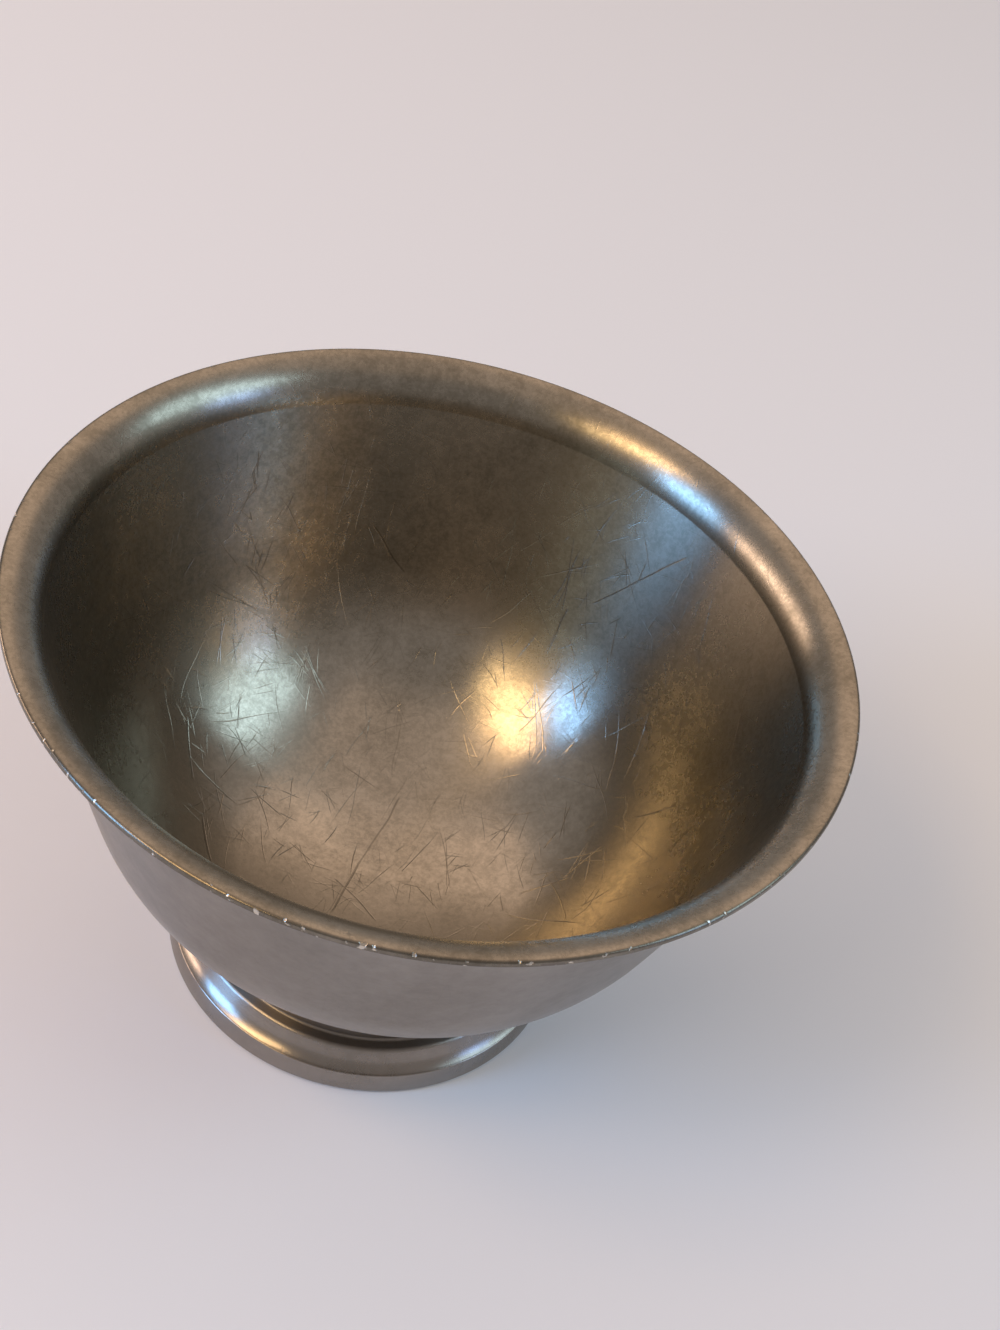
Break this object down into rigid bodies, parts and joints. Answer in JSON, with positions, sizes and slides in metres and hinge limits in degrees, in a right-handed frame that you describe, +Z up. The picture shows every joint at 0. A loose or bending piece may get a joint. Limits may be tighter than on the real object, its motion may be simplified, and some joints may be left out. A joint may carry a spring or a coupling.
{
  "type": "footed bowl",
  "caption": "Round bowl of spun pewter with a wide everted lip, on a hollow stepped foot, for serving food or holding small things.",
  "frame": {"origin": "on the bowl's axis, in the plane that the foot's ring stands on", "axes": "+Z up along the bowl's axis; the bowl is round, so X and Y are alike"},
  "size_m": [0.127, 0.127, 0.076],
  "materials": {
    "satin_pewter": "spun pewter, satin, warm grey, fine turning lines and wear scratches",
    "soft_solder": "tin solder, dressed smooth"
  },
  "bodies": {
    "root": {"bowl": "satin_pewter", "foot": "satin_pewter", "solder_seam": "soft_solder"}
  },
  "joints": []
}
